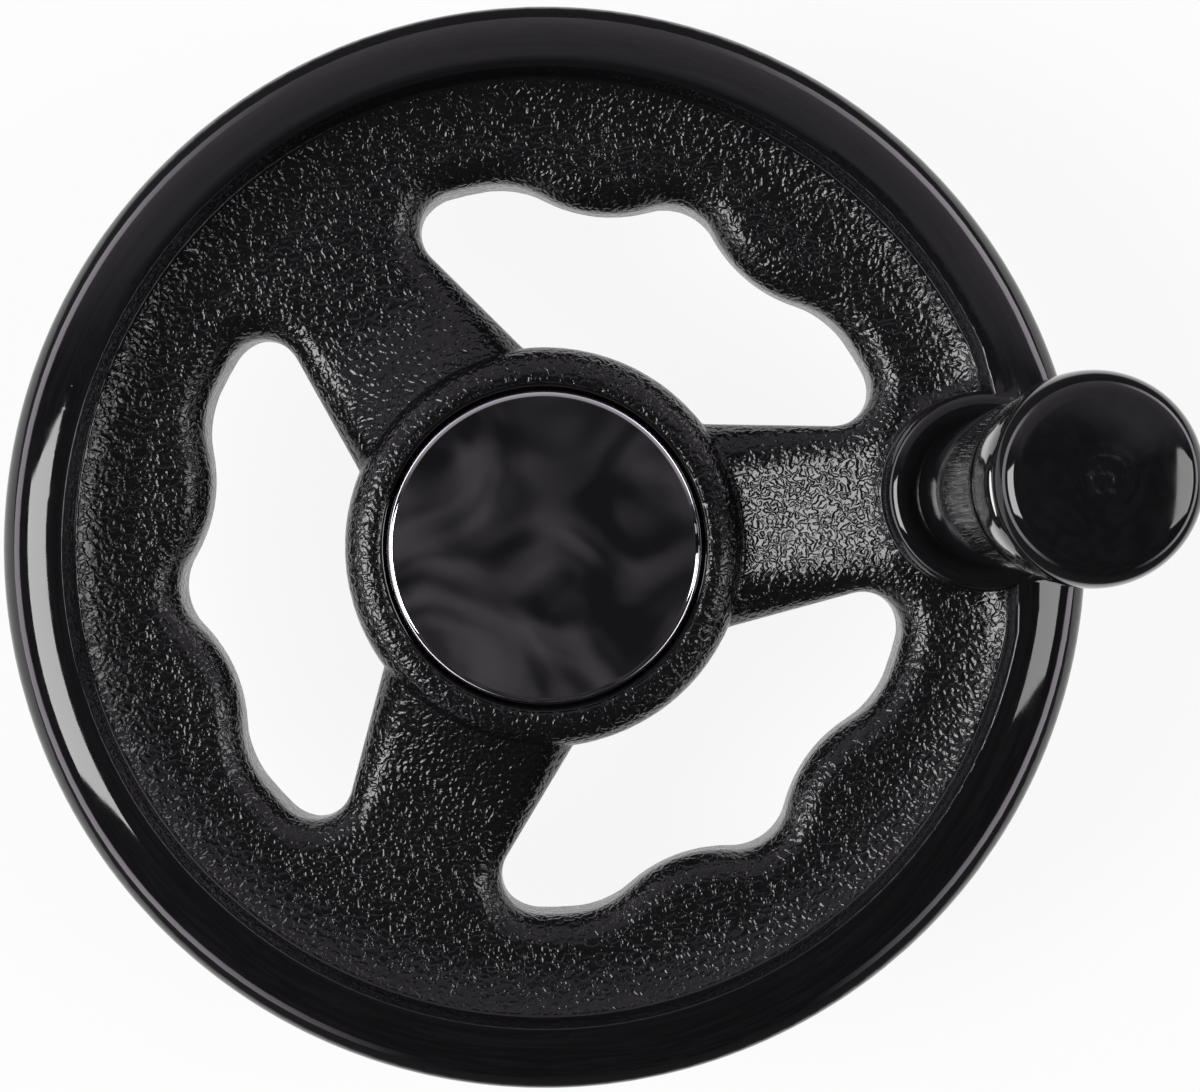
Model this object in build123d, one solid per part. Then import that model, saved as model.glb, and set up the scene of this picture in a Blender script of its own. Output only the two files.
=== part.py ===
from build123d import *
import math
import os

os.makedirs("parts", exist_ok=True)

# Machine handwheel with a revolving handle, in millimetres.
# +Z runs along the bore axis to the front. The origin is the centre of the hub's back face.
# The handle's spoke lies along +X.

# Rim
wheel_d = 125.0
widest_z = 30.0
band_w = 8.4
band_h = 5.5
step_run = 0.7
step_drop = 3.3
step_foot_fillet = 0.8
ridge_edge_r = 0.3
rim_depth = 12.0
rim_back_w = 8.5
rim_back_flat = 7.0
rim_back_sweep = 8.5

# Web, spokes and windows
web_z = 30.0
web_thick = 8.0
web_flat_w = 15.6
spoke_count = 3
spoke_root_w = 23.1
spoke_neck_w = 19.5
spoke_neck_r = 36.0
window_edge_w = 21.25
wave_count = 12
wave_height = 3.5
wave_bump_r = 16.0
end_lobe_stretch = 1.1
window_corner_share = 0.105
lip_front_r = 3.8
lip_back_r = 2.0
spoke_root_r = 2.2
spoke_root_sink = 0.3

# Hub
hub_lip_w = 1.1
hub_back_taper = 4.3
hub_back_edge = 0.8
hub_straight = 3.0
shoulder_w = 3.65
shoulder_h = 4.6
shoulder_rise = 2.6

# Hub cap and its seat
cap_r = 18.1
cap_seat_gap = 0.45
cap_seat_depth = 1.4
cap_edge_h = 2.1
cap_round_w = 2.2
cap_round_h = 1.2
cap_crown = 0.5
cap_wall = 1.5
skirt_inset = 3.8
skirt_wall = 1.3
skirt_len = 5.6
skirt_slots = 4
skirt_slot_w = 2.2
skirt_slot_foot = 1.0
snap_bead = 0.4
snap_bead_h = 1.2
snap_bead_up = 0.8
recess_gap = 0.2

# Steel bush
bore_d = 12.0
bore_chamfer = 0.5
key_w = 4.0
key_depth = 1.8
bush_r = 11.0
bush_len = 24.0
knurl_teeth = 24
knurl_depth = 0.6
knurl_len = 7.0
knurl_end = 3.0
bush_groove_depth = 1.2

# Handle boss and its threaded insert
boss_r = 11.5
boss_inset = 0.2
boss_above_ridge = 0.5
boss_root = 8.0
boss_edge_r = 1.8
thread_d = 8.0
thread_gap = 0.05
insert_r = 6.2
insert_len = 14.0
insert_hole_depth = 12.8
insert_teeth = 16
insert_tooth_depth = 0.5
insert_collar_h = 2.0
insert_chamfer = 0.6

# Handle spindle
shank_len = 11.5
collar_r = 6.5
collar_h = 2.5
collar_flats = 11.0
journal_d = 9.5
spindle_chamfer = 0.6
ring_from_end = 6.0
ring_groove_depth = 0.75
ring_thick = 1.0
ring_side_gap = 0.1
ring_w = 1.2
ring_mouth = 3.0
ring_bore_gap = 0.05

# Revolving grip
grip_len = 63.0
grip_base_r = 8.8
grip_base_chamfer = 0.4
grip_shank_r = 8.9
grip_max_r = 10.0
grip_dome_h = 9.5
grip_flare_h = 10.5
grip_end_wall = 11.2
grip_gap = 0.2
grip_bore_gap = 0.05
grip_bore_end_gap = 1.0
grip_mouth_chamfer = 0.5
grip_groove_gap = 0.3
gate_r = 1.75
gate_depth = 0.25
gate_pip_r = 0.45
gate_pip_drop = 0.1

# Places worked out from the sizes above
rim_r = wheel_d / 2
rim_back_r = rim_r - rim_back_w
ridge_r = rim_r - band_w
ridge_z = widest_z + band_h
rim_back_z = widest_z - rim_depth
web_back_z = web_z - web_thick
web_flat_r = rim_r - web_flat_w
window_r = rim_r - window_edge_w
window_lobe_r = window_r + wave_height / 2
window_corner_r = window_corner_share * window_lobe_r
bump_top_r = window_lobe_r - wave_height
end_lobe_turn = end_lobe_stretch * 360 / wave_count
hub_top_z = web_z + shoulder_rise
shoulder_z = hub_top_z - shoulder_h
seat_r = cap_r + cap_seat_gap
shoulder_r = seat_r + hub_lip_w
hub_r = shoulder_r + shoulder_w
hub_back_r = hub_r - hub_back_taper
skirt_r = cap_r - skirt_inset
seat_z = hub_top_z - cap_seat_depth
recess_r = skirt_r + recess_gap
boss_x = rim_r - boss_r - boss_inset
boss_z = ridge_z + boss_above_ridge
collar_z = boss_z + collar_h
grip_z = collar_z + grip_gap
grip_top_z = grip_z + grip_len
grip_wide_z = grip_top_z - grip_dome_h
grip_shank_z = grip_wide_z - grip_flare_h
grip_bore_z = grip_top_z - grip_end_wall
journal_z = grip_bore_z - grip_bore_end_gap
ring_z = journal_z - ring_from_end
journal_r = journal_d / 2
bore_r = bore_d / 2
bead_z = seat_z - skirt_len + snap_bead_up


def polar(radius, degrees):
    angle = math.radians(degrees)
    return (radius * math.cos(angle), radius * math.sin(angle))


def spun(section):
    """Solid of revolution about Z from a section drawn as radius and height."""
    return revolve(Plane.XZ * section, Axis.Z)


def turned(outline):
    return spun(make_face(outline))


def strip(inner_r, outer_r, low_z, high_z):
    """Plain rectangle of a section, between two radii and two heights."""
    middle = ((inner_r + outer_r) / 2, (low_z + high_z) / 2)
    return Pos(*middle) * Rectangle(outer_r - inner_r, high_z - low_z)


def tube(outer_r, inner_r, low_z, high_z):
    """Plain ring between two heights."""
    ring = Circle(outer_r) - Circle(inner_r)
    return extrude(Pos(0, 0, low_z) * ring, high_z - low_z)


def rod(radius, low_z, high_z):
    return extrude(Pos(0, 0, low_z) * Circle(radius), high_z - low_z)


def toothed_rod(radius, depth, teeth, low_z, high_z):
    """Rod with straight vee teeth all round."""
    pitch = 360 / teeth
    crests = [polar(radius, pitch * i) for i in range(teeth)]
    roots = [polar(radius - depth, pitch * (i + 0.5)) for i in range(teeth)]
    corners = [corner for pair in zip(crests, roots) for corner in pair]
    star = make_face(Polyline(*corners, close=True))
    return extrude(Pos(0, 0, low_z) * star, high_z - low_z)


def rim_and_web():
    """Rim, its step and the web as one full disc, before the windows are cut."""
    foot = (ridge_r - step_run, ridge_z - step_drop)
    back_end = (rim_back_r - rim_back_flat, rim_back_z)
    sweep_end = (back_end[0] - rim_back_sweep, web_back_z)
    sweep_middle = ((back_end[0] + sweep_end[0]) / 2, (back_end[1] + sweep_end[1]) / 2)
    outline = [
        Line((bush_r, web_z), (web_flat_r, web_z)),
        TangentArc((web_flat_r, web_z), foot, tangent=(1, 0)),
        Line(foot, (ridge_r, ridge_z)),
        EllipticalCenterArc((ridge_r, widest_z), band_w, band_h, 0, arc_size=90),
        EllipticalCenterArc((rim_back_r, widest_z), rim_back_w, rim_depth, 270, arc_size=90),
        Line((rim_back_r, rim_back_z), back_end),
        TangentArc(back_end, sweep_middle, tangent=(-1, 0)),
        TangentArc(sweep_end, sweep_middle, tangent=(1, 0)),
        Polyline(sweep_end, (bush_r, web_back_z), (bush_r, web_z)),
    ]
    section = make_face(outline)
    section = fillet(section.vertices().sort_by(Axis.Y)[-2], step_foot_fillet)
    section = fillet(section.vertices().sort_by(Axis.Y)[-1], ridge_edge_r)
    return spun(section)


def wave_joint(lobe_turn, bump_turn):
    """Point where a lobe's arc runs on into a bump's arc, from their two directions in degrees."""
    bump_centre_r = bump_top_r + wave_bump_r
    spread = 2 * bump_centre_r * math.cos(math.radians(lobe_turn - bump_turn))
    lobe_r = (
        window_lobe_r**2 + bump_centre_r**2 - window_lobe_r * spread - wave_bump_r**2
    ) / (2 * window_lobe_r + 2 * wave_bump_r - spread)
    lobe_centre = Vector(*polar(window_lobe_r - lobe_r, lobe_turn))
    bump_centre = Vector(*polar(bump_centre_r, bump_turn))
    return lobe_centre + (bump_centre - lobe_centre) * lobe_r / (lobe_r + wave_bump_r)


def finger_waves():
    """Window's outer edge: a lobe between two bumps, with half a wider lobe outside each."""
    bump_turn = 180 / wave_count
    low_end = polar(window_lobe_r, -end_lobe_turn)
    high_end = polar(window_lobe_r, end_lobe_turn)
    joints = [
        wave_joint(-end_lobe_turn, -bump_turn),
        wave_joint(0, -bump_turn),
        wave_joint(0, bump_turn),
        wave_joint(end_lobe_turn, bump_turn),
    ]
    return [
        TangentArc(low_end, joints[0], tangent=polar(1, 90 - end_lobe_turn)),
        ThreePointArc(joints[0], polar(bump_top_r, -bump_turn), joints[1]),
        ThreePointArc(joints[1], (window_lobe_r, 0), joints[2]),
        ThreePointArc(joints[2], polar(bump_top_r, bump_turn), joints[3]),
        TangentArc(high_end, joints[3], tangent=polar(1, end_lobe_turn - 90)),
    ]


def window_face():
    """One window between two spokes, centred on +X."""
    half_turn = 180 / spoke_count
    fan = make_face(
        finger_waves()
        + [
            CenterArc((0, 0), window_lobe_r, end_lobe_turn, half_turn - end_lobe_turn),
            Polyline(
                polar(window_lobe_r, half_turn), (0, 0), polar(window_lobe_r, -half_turn)
            ),
            CenterArc((0, 0), window_lobe_r, -half_turn, half_turn - end_lobe_turn),
        ]
    )
    narrowing = (spoke_root_w - spoke_neck_w) / 2 / (spoke_neck_r - hub_r)
    sides = []
    for along in (skirt_r, wheel_d):
        across = spoke_root_w / 2 - narrowing * (along - hub_r)
        angle = half_turn - math.degrees(math.atan2(across, along))
        sides.append(polar(math.hypot(along, across), angle))
    (near_x, near_y), (far_x, far_y) = sides
    wedge = Polyline(
        (near_x, near_y), (far_x, far_y), (far_x, -far_y), (near_x, -near_y), close=True
    )
    inner_r = hub_r - spoke_root_sink
    window = (fan & make_face(wedge)) - Circle(inner_r)
    window = fillet(window.vertices().group_by(SortBy.DISTANCE)[0], spoke_root_r)
    corners = window.vertices().sort_by(Axis.Y)
    return fillet([corners[0], corners[-1]], window_corner_r)


def wall_edges(disc):
    """Front and back edges of the window walls."""
    walls = [
        face
        for face in disc.faces()
        if abs(face.normal_at().Z) < 0.001 and math.hypot(*tuple(face.center())[:2]) > hub_r / 2
    ]
    edges = {edge for wall in walls for edge in wall.edges() if abs(edge.tangent_at(0.5).Z) < 0.9}
    front = [edge for edge in edges if edge.bounding_box().min.Z > web_z - 0.001]
    back = [edge for edge in edges if edge.bounding_box().max.Z < web_back_z + 0.001]
    return front, back


def spider():
    """Rim and spokes with the windows cut and their lips rounded."""
    disc = rim_and_web()
    window = extrude(Pos(0, 0, rim_back_z - 1) * window_face(), ridge_z - rim_back_z + 2)
    turn = 360 / spoke_count
    for i in range(spoke_count):
        disc -= Rot(0, 0, turn * (i + 0.5)) * window
    disc = fillet(wall_edges(disc)[0], lip_front_r)
    return fillet(wall_edges(disc)[1], lip_back_r)


def hub():
    """Hub barrel with its rounded front shoulder and drafted back."""
    outline = [
        Polyline(
            (shoulder_r, hub_top_z),
            (0, hub_top_z),
            (0, 0),
            (hub_back_r - hub_back_edge, 0),
            (hub_back_r, hub_back_edge),
            (hub_r, web_back_z - hub_straight),
            (hub_r, shoulder_z),
        ),
        EllipticalCenterArc((shoulder_r, shoulder_z), shoulder_w, shoulder_h, 0, arc_size=90),
    ]
    return turned(outline)


def boss():
    """Round boss that carries the handle, rising from the rim above its spoke."""
    post = Pos(boss_x, 0, 0) * rod(boss_r, boss_z - boss_root, boss_z)
    return fillet(post.edges().sort_by(Axis.Z)[-1], boss_edge_r)


def bush_blank():
    """Outside of the steel bush: two toothed bands with a groove between them."""
    teeth_r = bush_r - knurl_depth
    groove_r = bush_r - bush_groove_depth
    upper_end = bush_len - knurl_end
    blank = rod(bush_r, 0, knurl_end) + rod(bush_r, upper_end, bush_len)
    blank += rod(groove_r, knurl_end, upper_end)
    for low_z in (knurl_end, upper_end - knurl_len):
        blank += toothed_rod(bush_r, knurl_depth, knurl_teeth, low_z, low_z + knurl_len)
    return blank


def insert_blank():
    """Outside of the threaded insert in the boss, at the handle's axis."""
    low_z = boss_z - insert_len
    band_top = boss_z - insert_collar_h
    blank = rod(insert_r, band_top, boss_z)
    blank += toothed_rod(
        insert_r, insert_tooth_depth, insert_teeth, low_z + insert_collar_h, band_top
    )
    blank += rod(insert_r - insert_tooth_depth, low_z, low_z + insert_collar_h)
    return Pos(boss_x, 0, 0) * blank


def wheel_body():
    """The one-piece moulding: rim, spokes, hub and handle boss."""
    body = spider() + hub() + boss()
    body -= rod(seat_r, seat_z, hub_top_z + 1)
    body -= rod(recess_r, bush_len, seat_z + 1)
    body -= rod(
        recess_r + snap_bead, bead_z - recess_gap, bead_z + snap_bead_h + recess_gap
    )
    body -= bush_blank()
    body -= insert_blank()
    return body


def hub_bush():
    """Steel bush moulded into the hub, with its bore and keyway."""
    bush = bush_blank() - rod(bore_r, 0, bush_len)
    wide = bore_r + bore_chamfer
    mouth = turned(
        Polyline((0, 0), (wide, 0), (bore_r, bore_chamfer), (0, bore_chamfer), close=True)
    )
    bush -= mouth
    bush -= Pos(0, 0, bush_len) * Rot(180, 0, 0) * mouth
    reach = bore_r + key_depth
    bush -= Pos(reach / 2, 0, bush_len / 2) * Box(reach, key_w, bush_len)
    return bush


def hub_cap():
    """Bright cap: crowned disc with a rounded edge and a slotted snap skirt."""
    edge_z = seat_z + cap_edge_h
    skirt_low = seat_z - skirt_len
    skirt_in = skirt_r - skirt_wall
    under_z = edge_z - cap_wall
    crown_r = cap_r - cap_round_w
    round_z = edge_z - cap_round_h
    bead_out = skirt_r + snap_bead
    outline = [
        Line((0, under_z), (0, edge_z + cap_crown)),
        TangentArc((0, edge_z + cap_crown), (crown_r, edge_z), tangent=(1, 0)),
        EllipticalCenterArc((crown_r, round_z), cap_round_w, cap_round_h, 0, arc_size=90),
        Polyline(
            (cap_r, round_z),
            (cap_r, seat_z),
            (skirt_r, seat_z),
            (skirt_r, bead_z + snap_bead_h),
            (bead_out, bead_z + snap_bead_h / 2),
            (skirt_r, bead_z),
            (skirt_r, skirt_low),
            (skirt_in, skirt_low),
            (skirt_in, under_z),
            (0, under_z),
        ),
    ]
    cap = turned(outline)
    slot_high = seat_z - skirt_slot_foot
    slot = Pos(skirt_r, 0, (skirt_low + slot_high) / 2) * Box(
        4 * skirt_wall, skirt_slot_w, slot_high - skirt_low
    )
    for i in range(skirt_slots):
        cap -= Rot(0, 0, 360 / skirt_slots * (i + 0.5)) * slot
    return cap


def handle_insert():
    """Threaded insert in the boss, closed at its lower end."""
    hole = rod(thread_d / 2, boss_z - insert_hole_depth, boss_z)
    mouth_z = boss_z - insert_chamfer
    wide = thread_d / 2 + insert_chamfer
    mouth = turned(
        Polyline((0, mouth_z), (thread_d / 2, mouth_z), (wide, boss_z), (0, boss_z), close=True)
    )
    return insert_blank() - Pos(boss_x, 0, 0) * (hole + mouth)


def handle_spindle():
    """Steel spindle: threaded shank, flatted collar, journal and ring groove."""
    shank_r = thread_d / 2 - thread_gap
    low_z = boss_z - shank_len
    groove_r = journal_r - ring_groove_depth
    groove_low = ring_z - ring_side_gap
    groove_high = ring_z + ring_thick + ring_side_gap
    outline = Polyline(
        (0, low_z),
        (shank_r - spindle_chamfer, low_z),
        (shank_r, low_z + spindle_chamfer),
        (shank_r, boss_z),
        (collar_r, boss_z),
        (collar_r, collar_z),
        (journal_r, collar_z),
        (journal_r, groove_low),
        (groove_r, groove_low),
        (groove_r, groove_high),
        (journal_r, groove_high),
        (journal_r, journal_z - spindle_chamfer),
        (journal_r - spindle_chamfer, journal_z),
        (0, journal_z),
        close=True,
    )
    spindle = turned(outline)
    waste_w = collar_r - collar_flats / 2
    for side in (-1, 1):
        across = side * (collar_flats + waste_w) / 2
        spindle -= Pos(0, across, boss_z + collar_h / 2) * Box(2 * collar_r, waste_w, collar_h)
    return Pos(boss_x, 0, 0) * spindle


def retaining_ring():
    """Split spring ring that sits in the spindle's groove and holds the grip on."""
    inner_r = journal_r - ring_groove_depth + ring_bore_gap
    outer_r = inner_r + ring_w
    ring = tube(outer_r, inner_r, ring_z, ring_z + ring_thick)
    ring -= Pos(outer_r, 0, ring_z + ring_thick / 2) * Box(2 * outer_r, ring_mouth, ring_thick)
    return Pos(boss_x, 0, 0) * ring


def handle_grip():
    """Revolving grip: slightly flared shank, fuller head and domed end."""
    shank_top = (grip_shank_r, grip_shank_z)
    base = (grip_base_r, grip_z + grip_base_chamfer)
    outline = [
        Polyline((0, grip_top_z), (0, grip_z), (grip_base_r - grip_base_chamfer, grip_z), base),
        TangentArc(base, shank_top, tangent=(0, 1)),
        TangentArc((grip_max_r, grip_wide_z), shank_top, tangent=(0, -1)),
        EllipticalCenterArc((0, grip_wide_z), grip_max_r, grip_dome_h, 0, arc_size=90),
    ]
    section = make_face(outline)
    hole_r = journal_r + grip_bore_gap
    mouth_r = hole_r + grip_mouth_chamfer
    mouth_z = grip_z + grip_mouth_chamfer
    section -= strip(0, hole_r, grip_z, grip_bore_z)
    section -= make_face(
        Polyline((0, grip_z), (mouth_r, grip_z), (hole_r, mouth_z), (0, mouth_z), close=True)
    )
    ring_out = journal_r - ring_groove_depth + ring_bore_gap + ring_w
    section -= strip(
        0, ring_out + grip_groove_gap, ring_z - grip_groove_gap, ring_z + ring_thick + grip_groove_gap
    )
    section -= strip(0, gate_pip_r, grip_top_z - gate_pip_drop, grip_top_z)
    section -= strip(gate_pip_r, gate_r, grip_top_z - gate_depth, grip_top_z)
    grip = spun(section)
    return Pos(boss_x, 0, 0) * grip


pieces = {
    "wheel_body": wheel_body(),
    "hub_bush": hub_bush(),
    "hub_cap": hub_cap(),
    "handle_insert": handle_insert(),
    "handle_spindle": handle_spindle(),
    "retaining_ring": retaining_ring(),
    "handle_grip": handle_grip(),
}
for name, piece in pieces.items():
    export_step(piece, f"parts/{name}.step")
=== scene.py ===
import math

import bmesh
import bpy
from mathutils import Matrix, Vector


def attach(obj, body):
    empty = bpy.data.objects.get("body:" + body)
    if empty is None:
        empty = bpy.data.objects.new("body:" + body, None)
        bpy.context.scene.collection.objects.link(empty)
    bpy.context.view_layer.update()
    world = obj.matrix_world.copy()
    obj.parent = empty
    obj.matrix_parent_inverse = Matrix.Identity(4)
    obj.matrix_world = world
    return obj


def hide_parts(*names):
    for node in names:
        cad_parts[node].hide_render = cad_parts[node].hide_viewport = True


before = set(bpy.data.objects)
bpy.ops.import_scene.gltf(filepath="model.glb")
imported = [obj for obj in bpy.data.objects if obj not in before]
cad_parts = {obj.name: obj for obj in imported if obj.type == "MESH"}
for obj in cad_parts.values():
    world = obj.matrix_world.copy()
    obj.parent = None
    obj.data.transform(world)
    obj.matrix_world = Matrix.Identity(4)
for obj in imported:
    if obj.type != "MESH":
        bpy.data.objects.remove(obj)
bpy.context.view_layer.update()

MM = 0.001

# Camera, read from the photograph: it looks straight down, a little off the wheel's axis
photo_w, photo_h = 1200, 1092
focal_px = 2506
sensor_w = 36.0
camera_xy = (6.4, 0.5)
camera_z = 320.0
camera_roll = -7.2
nadir_px = (599, 536)
near_clip = 0.01

# Places on the wheel, in millimetres
grain_outer_r = 53.85
grain_fade = 0.25
boss_x = 50.8
boss_r = 11.5
boss_foot_z = (26.0, 27.0)
lip_r = 18.85
gate_r = 1.8

# The rim's ridge and step lie a little further out in the photograph than on the solid: old and new radii
step_radii = ((50.0, 50.0), (53.0, 53.85), (53.4, 54.15), (54.1, 54.65), (62.5, 62.5))
boss_blend = (12.5, 15.5)
front_z = 25.0
weld_distance = 1e-7

# The front of the handle's spoke is shaded as if it leaned a little toward the hub, so that its grain catches
# the left window
lean = -0.46
lean_r = (22.8, 23.6)
lean_half_y = (4.0, 12.0)
lean_boss_r = (boss_r + 0.6, boss_r + 1.8)
lean_front_z = (28.0, 29.0)

# Cap, in millimetres: as the solid, with the narrower bright edge of the photograph
cap_r = 18.1
cap_top_z = 33.8
cap_crown = 0.5
cap_edge_w = 0.9
cap_edge_h = 1.0
cap_middle_r = 0.5
seat_z = 31.2
skirt_r = (14.3, 13.0)
skirt_z = (25.6, 31.8)

# Grip, in millimetres: as the solid, with the flatter end and fuller shoulder that its reflections show
grip_z = 38.7
grip_top_z = 101.64
gate_depth = 0.06
end_crown_r = 36.0
end_crown_w = 7.4
grip_wide_r = 9.8
grip_wide_z = 95.6
shank_top_r = 9.2
shank_top_z = 84.0
shank_foot_r = 8.3
foot_chamfer = 0.4
hole_r = 4.8
hole_mouth = 0.5
hole_end_z = 90.5
groove_r = 5.55
groove_z = (83.2, 84.8)

# Steps of the turned pieces: round the axis, along a wide curve and along a small one
turn_steps = 160
wide_steps = 24
small_steps = 16

# Greatest angle in degrees between two faces that are still shaded smooth
wheel_smooth_angle = 32
cap_smooth_angle = 40
grip_smooth_angle = 30

# Black phenolic: polish, with a slow ripple; heights in millimetres, scales per millimetre
phenolic_colour = (0.0052, 0.005, 0.0055, 1)
phenolic_ior = 1.5
haze_scale = 0.35
polish_rough = (0.035, 0.075)
ripple_scale = 0.12
ripple_height = 0.03

# Its worm grain is noise bent by a slower noise, with a fine noise on top
bend_scale = 0.8
bend_reach = 1.2
worm_scale = 1.7
worm_detail = 0.6
worm_levels = (0.28, 0.66)
worm_height = 0.085
fine_scale = 5.0
fine_height = 0.01
grain_rough = 0.13

# The grip's gate mark is a patch of rough scar with faint rings, at the rate of a sine wave
gate_fade_r = (0.3, gate_r + 1.6)
scar_scale = 0.9
scar_height = 0.2
scar_rough = 0.12
ring_rate = 5.0
ring_share = 0.12

# Metals: colour and span of roughness
chrome = ((0.62, 0.62, 0.63), (0.02, 0.04))
bush_steel = ((0.5, 0.5, 0.5), (0.3, 0.4))
spindle_steel = ((0.5, 0.5, 0.49), (0.25, 0.35))
ring_steel = ((0.35, 0.35, 0.35), (0.3, 0.4))
brass = ((0.72, 0.55, 0.27), (0.3, 0.4))
metal_cloud_scale = 0.4
turning_scale = 8.0
turning_height = 0.01

# Levels of a noise between which roughness goes from its low to its high value
cloud_span = (0.3, 0.7)

# Room round the wheel: turn in degrees, other directions as parts of a unit, radiance where a white wall is 1
room_tint = (1.0, 0.93, 1.03, 1.0)
wall_turn = 80.0
wall_level = 0.42
wall_spread = (0.25, 0.6)
wall_top = (0.88, 0.97)
wall_shade = (1.5 * wall_level, 0.8 * wall_level)
wall_shade_rise = 0.9
least_level_part = 0.001
ceiling_level = 0.04
ceiling_cloud_scale = 7.0
ceiling_cloud_span = (0.35, 0.7)
ceiling_shade = (0.3 * ceiling_level, 2.0 * ceiling_level)
sill_level = 3.6
sill_side = (0.35, 0.9)
sill_rise = (0.19, 0.24)

# Windows: direction and height in degrees, distance and size in metres, radiance
window_rise = 43.5
window_distance = 1.3
left_window = (182.0, (0.68, 0.62), 10.5)
right_window = (-10.0, (0.5, 0.62), 5.5)

# Floor: half its side in metres, its colour near the wheel and far from it, its near part in millimetres
floor_half = 3.0
floor_colour = 0.86
floor_far_colour = 0.05
floor_glow = 0.9
floor_rough = 0.9
pool_half = (1400.0, 85.0)
pool_fade = (0.8, 1.3)


def new_material(name):
    material = bpy.data.materials.new(name)
    material.use_nodes = True
    tree = material.node_tree
    return material, tree, tree.nodes["Principled BSDF"]


def new_object(name, data):
    item = bpy.data.objects.new(name, data)
    bpy.context.scene.collection.objects.link(item)
    return item


def maths(tree, operation, first, second=None, third=None):
    node = tree.nodes.new("ShaderNodeMath")
    node.operation = operation
    for socket, value in zip(node.inputs, (first, second, third)):
        if value is None:
            continue
        if isinstance(value, (int, float)):
            socket.default_value = value
        else:
            tree.links.new(value, socket)
    return node.outputs[0]


def product(tree, *values):
    total = values[0]
    for value in values[1:]:
        total = maths(tree, "MULTIPLY", total, value)
    return total


def place_mm(tree):
    """Object position in millimetres."""
    node = tree.nodes.new("ShaderNodeVectorMath")
    node.operation = "SCALE"
    tree.links.new(tree.nodes.new("ShaderNodeTexCoord").outputs["Object"], node.inputs[0])
    node.inputs["Scale"].default_value = 1 / MM
    return node.outputs[0]


def noise(tree, vector, scale, detail=2.0, distortion=0.0):
    node = tree.nodes.new("ShaderNodeTexNoise")
    node.inputs["Scale"].default_value = scale
    node.inputs["Detail"].default_value = detail
    node.inputs["Distortion"].default_value = distortion
    tree.links.new(vector, node.inputs["Vector"])
    return node


def ramp(tree, value, low, high, out_low=0.0, out_high=1.0):
    node = tree.nodes.new("ShaderNodeMapRange")
    node.interpolation_type = "SMOOTHSTEP"
    node.inputs["From Min"].default_value = low
    node.inputs["From Max"].default_value = high
    node.inputs["To Min"].default_value = out_low
    node.inputs["To Max"].default_value = out_high
    tree.links.new(value, node.inputs["Value"])
    return node.outputs[0]


def bump(tree, level, height, normal=None):
    """Bump whose height is in millimetres."""
    node = tree.nodes.new("ShaderNodeBump")
    node.inputs["Distance"].default_value = height * MM
    node.inputs["Strength"].default_value = 1.0
    tree.links.new(level, node.inputs["Height"])
    if normal is not None:
        tree.links.new(normal, node.inputs["Normal"])
    return node.outputs["Normal"]


def split(tree, vector):
    node = tree.nodes.new("ShaderNodeSeparateXYZ")
    tree.links.new(vector, node.inputs[0])
    return node.outputs


def radius_about(tree, axes, centre_x):
    """Distance from an axis parallel to Z that passes through a point on the X axis."""
    across = maths(tree, "SUBTRACT", axes["X"], centre_x)
    square = maths(tree, "MULTIPLY_ADD", across, across, maths(tree, "MULTIPLY", axes["Y"], axes["Y"]))
    return maths(tree, "SQRT", square)


def grain_mask(tree, place):
    """Where the moulding is grained: inside the rim's step, outside the boss and the hub's lip."""
    axes = split(tree, place)
    radius = radius_about(tree, axes, 0.0)
    inside = ramp(tree, radius, grain_outer_r - grain_fade, grain_outer_r, 1.0, 0.0)
    off_lip = ramp(tree, radius, lip_r, lip_r + grain_fade)
    boss_gap = radius_about(tree, axes, boss_x)
    off_boss = ramp(tree, boss_gap, boss_r, boss_r + grain_fade)
    under_boss = ramp(tree, axes["Z"], *boss_foot_z, 1.0, 0.0)
    off_boss = maths(tree, "MAXIMUM", off_boss, under_boss)
    return product(tree, inside, off_lip, off_boss)


def leaning(tree, place):
    """Normal that leans toward the hub on the front of the handle's spoke."""
    axes = split(tree, place)
    past_hub = ramp(tree, radius_about(tree, axes, 0.0), *lean_r)
    handle_side = maths(tree, "GREATER_THAN", axes["X"], 0.0)
    on_spoke = ramp(tree, maths(tree, "ABSOLUTE", axes["Y"]), *lean_half_y, 1.0, 0.0)
    before_boss = ramp(tree, radius_about(tree, axes, boss_x), *lean_boss_r)
    front = ramp(tree, axes["Z"], *lean_front_z)
    share = product(tree, past_hub, handle_side, on_spoke, before_boss, front)
    blend = tree.nodes.new("ShaderNodeMix")
    blend.data_type = "VECTOR"
    tree.links.new(share, blend.inputs[0])
    tree.links.new(tree.nodes.new("ShaderNodeNewGeometry").outputs["Normal"], blend.inputs[4])
    blend.inputs[5].default_value = (lean, 0.0, 1.0)
    unit = tree.nodes.new("ShaderNodeVectorMath")
    unit.operation = "NORMALIZE"
    tree.links.new(blend.outputs[1], unit.inputs[0])
    return unit.outputs[0]


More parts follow.
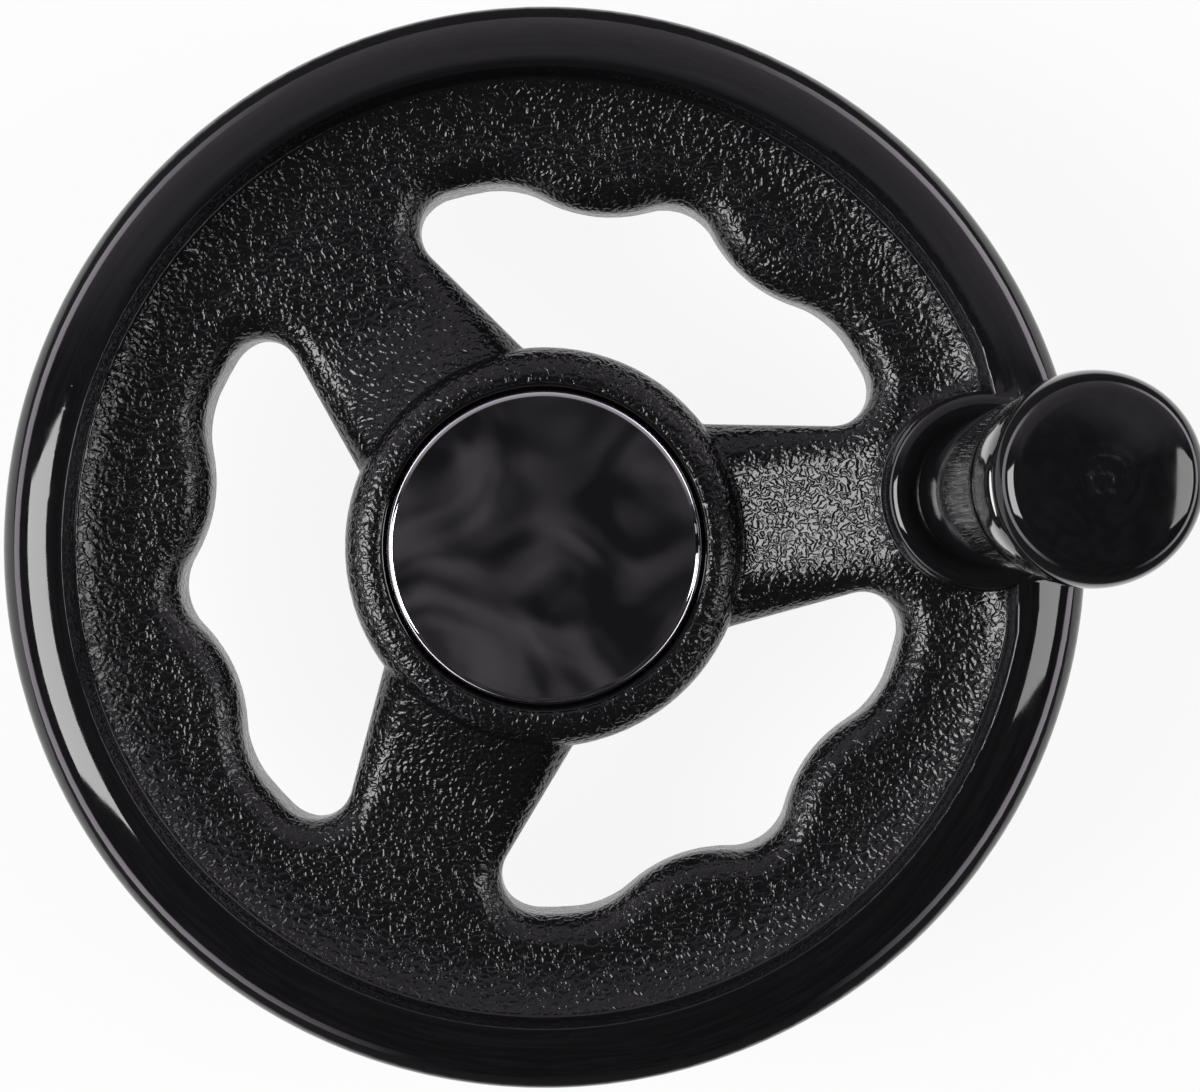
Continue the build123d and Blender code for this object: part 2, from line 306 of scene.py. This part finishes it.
def add_grain(tree, place, rough, normal):
    """Worm grain where the mask lets it be, with the roughness that goes with it."""
    mask = grain_mask(tree, place)
    bent = tree.nodes.new("ShaderNodeVectorMath")
    bent.operation = "MULTIPLY_ADD"
    tree.links.new(noise(tree, place, bend_scale, detail=1.0).outputs["Color"], bent.inputs[0])
    bent.inputs[1].default_value = (bend_reach, bend_reach, bend_reach)
    tree.links.new(place, bent.inputs[2])
    worms = noise(tree, bent.outputs[0], worm_scale, detail=worm_detail).outputs[0]
    level = product(tree, ramp(tree, worms, *worm_levels), mask)
    normal = bump(tree, level, worm_height, normal)
    fine = product(tree, noise(tree, place, fine_scale, detail=1.0).outputs[0], mask)
    normal = bump(tree, fine, fine_height, normal)
    rough = maths(tree, "ADD", rough, ramp(tree, mask, 0.0, 1.0, 0.0, grain_rough))
    return rough, normal


def add_gate(tree, place, rough, normal):
    """Gate mark in the middle of the grip's end: a rough scar with faint rings, which fades outward."""
    gap = radius_about(tree, split(tree, place), boss_x)
    on_gate = ramp(tree, gap, *gate_fade_r, 1.0, 0.0)
    scar = noise(tree, place, scar_scale).outputs[0]
    rings = product(tree, maths(tree, "SINE", product(tree, gap, ring_rate)), ring_share)
    level = product(tree, maths(tree, "ADD", scar, rings), on_gate)
    normal = bump(tree, level, scar_height, normal)
    rough = maths(tree, "ADD", rough, ramp(tree, on_gate, 0.0, 1.0, 0.0, scar_rough))
    return rough, normal


def phenolic(name, grained=False, gated=False):
    """Black phenolic moulding, polished, with worm grain or a gate mark where asked."""
    material, tree, shader = new_material(name)
    place = place_mm(tree)
    shader.inputs["Base Color"].default_value = phenolic_colour
    shader.inputs["IOR"].default_value = phenolic_ior
    haze = noise(tree, place, haze_scale, detail=4.0).outputs[0]
    rough = ramp(tree, haze, *cloud_span, *polish_rough)
    ripple = noise(tree, place, ripple_scale, detail=1.0).outputs[0]
    normal = bump(tree, ripple, ripple_height, leaning(tree, place) if grained else None)
    if grained:
        rough, normal = add_grain(tree, place, rough, normal)
    if gated:
        rough, normal = add_gate(tree, place, rough, normal)
    tree.links.new(rough, shader.inputs["Roughness"])
    tree.links.new(normal, shader.inputs["Normal"])
    return material


def metal(name, look, turned=False):
    """Metal with uneven roughness and, where asked, fine turning marks along the axis."""
    colour, rough = look
    material, tree, shader = new_material(name)
    shader.inputs["Base Color"].default_value = (*colour, 1)
    shader.inputs["Metallic"].default_value = 1.0
    place = place_mm(tree)
    cloud = noise(tree, place, metal_cloud_scale, detail=5.0).outputs[0]
    tree.links.new(ramp(tree, cloud, *cloud_span, *rough), shader.inputs["Roughness"])
    if turned:
        lines = tree.nodes.new("ShaderNodeTexNoise")
        lines.noise_dimensions = "1D"
        lines.inputs["Scale"].default_value = turning_scale
        tree.links.new(split(tree, place)["Z"], lines.inputs["W"])
        tree.links.new(bump(tree, lines.outputs[0], turning_height), shader.inputs["Normal"])
    return material


def smoothed_copy(node_name, name, angle, reshape):
    """Own copy of a CAD node's mesh, welded, reshaped and shaded smooth up to an angle."""
    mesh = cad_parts[node_name].data.copy()
    mesh.name = name
    piece = new_object(name, mesh)
    work = bmesh.new()
    work.from_mesh(mesh)
    bmesh.ops.remove_doubles(work, verts=work.verts, dist=weld_distance)
    reshape(work)
    work.to_mesh(mesh)
    work.free()
    mesh.shade_smooth()
    mesh.set_sharp_from_angle(angle=math.radians(angle))
    return piece


def moved_radius(radius):
    for (low, new_low), (high, new_high) in zip(step_radii, step_radii[1:]):
        if low <= radius <= high:
            return new_low + (new_high - new_low) * (radius - low) / (high - low)
    return radius


def move_step(work):
    """Move the front's ridge and step outward, and leave them as they are beside the boss."""
    for vert in work.verts:
        x, y, z = (value / MM for value in vert.co)
        if z < front_z:
            continue
        radius = math.hypot(x, y)
        boss_gap = math.hypot(x - boss_x, y)
        share = min(max((boss_gap - boss_blend[0]) / (boss_blend[1] - boss_blend[0]), 0.0), 1.0)
        factor = 1.0 + share * (moved_radius(radius) / radius - 1.0)
        vert.co.x *= factor
        vert.co.y *= factor


def wheel():
    piece = smoothed_copy("wheel_body", "wheel_moulding", wheel_smooth_angle, move_step)
    piece.data.materials.clear()
    piece.data.materials.append(phenolic("wheel_phenolic", grained=True))
    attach(piece, "wheel")
    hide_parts("wheel_body")


def curve(start, bend, end, steps):
    """Points of a quadratic curve in a section, without its first one."""
    points = []
    for i in range(1, steps + 1):
        t = i / steps
        weights = ((1 - t) ** 2, 2 * t * (1 - t), t * t)
        points.append(tuple(sum(w * p[k] for w, p in zip(weights, (start, bend, end))) for k in (0, 1)))
    return points


def grip_end():
    """Section of the grip's end: the flat of the gate, the slow crown and the rounded shoulder."""
    crown_middle_z = grip_top_z - end_crown_r
    points = [(gate_r - gate_depth, grip_top_z - gate_depth)]
    for i in range(wide_steps + 1):
        r = gate_r + (end_crown_w - gate_r) * i / wide_steps
        points.append((r, crown_middle_z + math.sqrt(end_crown_r ** 2 - r ** 2)))
    slope = end_crown_w / math.sqrt(end_crown_r ** 2 - end_crown_w ** 2)
    shoulder = (grip_wide_r, points[-1][1] - slope * (grip_wide_r - end_crown_w))
    return points + curve(points[-1], shoulder, (grip_wide_r, grip_wide_z), wide_steps)


def grip_section():
    """Section of the grip, radius and height, from the middle of its end round to the end of its bore."""
    points = grip_end()
    waist = (grip_wide_r, (grip_wide_z + shank_top_z) / 2)
    points += curve(points[-1], waist, (shank_top_r, shank_top_z), small_steps)
    low_r = shank_foot_r - foot_chamfer
    for i in range(1, small_steps + 1):
        t = i / small_steps
        z = shank_top_z + (grip_z + foot_chamfer - shank_top_z) * t
        points.append((shank_top_r + (shank_foot_r - shank_top_r) * t, z))
    points += [(low_r, grip_z), (hole_r + hole_mouth, grip_z), (hole_r, grip_z + hole_mouth)]
    points += [(hole_r, groove_z[0]), (groove_r, groove_z[0]), (groove_r, groove_z[1]), (hole_r, groove_z[1])]
    points.append((hole_r, hole_end_z))
    return points


def spun_piece(name, section, centre_x, sharp_angle):
    """Solid of revolution about an upright axis, closed at both ends of its section."""
    verts, faces = [], []
    for r, z in section:
        for i in range(turn_steps):
            angle = 2 * math.pi * i / turn_steps
            verts.append(((centre_x + r * math.cos(angle)) * MM, r * math.sin(angle) * MM, z * MM))
    for k in range(len(section) - 1):
        for i in range(turn_steps):
            j = (i + 1) % turn_steps
            low, high = k * turn_steps, (k + 1) * turn_steps
            faces.append((low + i, high + i, high + j, low + j))
    last = (len(section) - 1) * turn_steps
    faces.append(tuple(range(turn_steps)))
    faces.append(tuple(last + i for i in reversed(range(turn_steps))))
    mesh = bpy.data.meshes.new(name)
    mesh.from_pydata(verts, [], faces)
    mesh.validate()
    mesh.shade_smooth()
    mesh.set_sharp_from_angle(angle=math.radians(sharp_angle))
    return new_object(name, mesh)


def cap_section():
    """Section of the cap: crowned top, rounded edge, seat and skirt."""
    crown_r = cap_r - cap_edge_w
    edge_z = cap_top_z - cap_crown
    points = []
    for i in range(wide_steps + 1):
        r = cap_middle_r + (crown_r - cap_middle_r) * i / wide_steps
        points.append((r, cap_top_z - cap_crown * (r / crown_r) ** 2))
    for i in range(1, small_steps + 1):
        angle = math.pi / 2 * i / small_steps
        points.append((crown_r + cap_edge_w * math.sin(angle), edge_z - cap_edge_h * (1 - math.cos(angle))))
    points += [(cap_r, seat_z), (skirt_r[0], seat_z), (skirt_r[0], skirt_z[0]), (skirt_r[1], skirt_z[0])]
    points += [(skirt_r[1], skirt_z[1]), (cap_middle_r, skirt_z[1])]
    return points


def cap():
    piece = spun_piece("cap_plated", cap_section(), 0.0, cap_smooth_angle)
    piece.data.materials.append(metal("cap_chrome", chrome))
    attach(piece, "wheel")
    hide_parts("hub_cap")


def grip():
    piece = spun_piece("grip_moulding", grip_section(), boss_x, grip_smooth_angle)
    piece.data.materials.append(phenolic("grip_phenolic", gated=True))
    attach(piece, "grip")
    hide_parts("handle_grip")


def dress(node_name, material):
    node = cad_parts[node_name]
    for slot in node.material_slots:
        slot.material = material


def near_part(tree):
    """1 on the part of the floor near the wheel, fading to 0 beyond it."""
    axes = split(tree, place_mm(tree))
    across = maths(tree, "DIVIDE", maths(tree, "ABSOLUTE", axes["X"]), pool_half[0])
    along = maths(tree, "DIVIDE", maths(tree, "ABSOLUTE", axes["Y"]), pool_half[1])
    return ramp(tree, maths(tree, "MAXIMUM", across, along), *pool_fade, 1.0, 0.0)


def paper():
    """Pale paper that keeps the shadow. Beyond its near part, reflections and bounced light see it darker."""
    material, tree, shader = new_material("paper")
    near = near_part(tree)
    path = tree.nodes.new("ShaderNodeLightPath").outputs
    pale = maths(tree, "MAXIMUM", near, path["Is Camera Ray"])
    level = ramp(tree, pale, 0.0, 1.0, floor_far_colour, floor_colour)
    tone = tree.nodes.new("ShaderNodeCombineColor")
    for channel in tone.inputs:
        tree.links.new(level, channel)
    tree.links.new(tone.outputs[0], shader.inputs["Base Color"])
    shader.inputs["Roughness"].default_value = floor_rough

    mirrored = maths(tree, "MAXIMUM", path["Is Glossy Ray"], path["Is Transmission Ray"])
    seen = maths(tree, "MAXIMUM", product(tree, mirrored, near), path["Is Camera Ray"])
    glow = tree.nodes.new("ShaderNodeEmission")
    mix = tree.nodes.new("ShaderNodeMixShader")
    tree.links.new(product(tree, seen, floor_glow), mix.inputs[0])
    tree.links.new(shader.outputs[0], mix.inputs[1])
    tree.links.new(glow.outputs[0], mix.inputs[2])
    tree.links.new(mix.outputs[0], tree.nodes["Material Output"].inputs[0])
    return material


def floor():
    low, high = -floor_half, floor_half
    corners = [(low, low, 0), (high, low, 0), (high, high, 0), (low, high, 0)]
    mesh = bpy.data.meshes.new("floor")
    mesh.from_pydata(corners, [], [(0, 1, 2, 3)])
    mesh.materials.append(paper())
    new_object("floor", mesh)


def window(name, turn, size, radiance):
    data = bpy.data.lights.new(name, "AREA")
    data.shape = "RECTANGLE"
    data.size, data.size_y = size
    data.energy = radiance * math.pi * size[0] * size[1]
    turn, rise = math.radians(turn), math.radians(window_rise)
    outward = Vector((math.cos(turn) * math.cos(rise), math.sin(turn) * math.cos(rise), math.sin(rise)))
    lamp = new_object(name, data)
    lamp.location = outward * window_distance
    lamp.rotation_euler = outward.to_track_quat("Z", "Y").to_euler()


def camera():
    data = bpy.data.cameras.new("camera")
    data.sensor_fit = "HORIZONTAL"
    data.sensor_width = sensor_w
    data.lens = focal_px / photo_w * sensor_w
    data.shift_x = (photo_w / 2 - nadir_px[0]) / photo_w
    data.shift_y = (nadir_px[1] - photo_h / 2) / photo_w
    data.clip_start = near_clip
    eye = new_object("camera", data)
    eye.location = (camera_xy[0] * MM, camera_xy[1] * MM, camera_z * MM)
    eye.rotation_euler = (0, 0, math.radians(camera_roll))
    bpy.context.scene.camera = eye


def wall(tree, axes):
    """Soft grey wall on one side of the room, brighter low down."""
    turn = math.radians(wall_turn)
    toward = maths(tree, "MULTIPLY", axes["X"], math.cos(turn))
    toward = maths(tree, "MULTIPLY_ADD", axes["Y"], math.sin(turn), toward)
    level_part = maths(tree, "ADD", radius_about(tree, axes, 0.0), least_level_part)
    facing = maths(tree, "DIVIDE", toward, level_part)
    spread = ramp(tree, facing, *wall_spread)
    below_top = ramp(tree, axes["Z"], *wall_top, 1.0, 0.0)
    shade = ramp(tree, axes["Z"], 0.0, wall_shade_rise, *wall_shade)
    return product(tree, spread, below_top, shade)


def ceiling(tree, direction):
    """Dark ceiling with faint clouds."""
    clouds = noise(tree, direction, ceiling_cloud_scale, detail=1.5, distortion=1.5).outputs[0]
    return ramp(tree, clouds, *ceiling_cloud_span, *ceiling_shade)


def sills(tree, axes):
    """Bright band low down on the left and right."""
    side = ramp(tree, maths(tree, "ABSOLUTE", axes["X"]), *sill_side)
    return product(tree, side, ramp(tree, axes["Z"], *sill_rise, sill_level, 0.0))


def room():
    scene = bpy.context.scene
    scene.world = bpy.data.worlds.new("room")
    scene.world.use_nodes = True
    tree = scene.world.node_tree
    direction = tree.nodes.new("ShaderNodeTexCoord").outputs["Generated"]
    axes = split(tree, direction)
    level = maths(tree, "ADD", wall(tree, axes), ceiling(tree, direction))
    level = maths(tree, "ADD", level, sills(tree, axes))
    background = tree.nodes["Background"]
    background.inputs["Color"].default_value = room_tint
    tree.links.new(level, background.inputs["Strength"])


wheel()
grip()
cap()
dress("hub_bush", metal("bush_steel", bush_steel, turned=True))
dress("handle_spindle", metal("spindle_steel", spindle_steel, turned=True))
dress("retaining_ring", metal("ring_steel", ring_steel))
dress("handle_insert", metal("insert_brass", brass, turned=True))
floor()
room()
window("window_left", *left_window)
window("window_right", *right_window)
camera()

scene = bpy.context.scene
scene.view_settings.view_transform = "Standard"
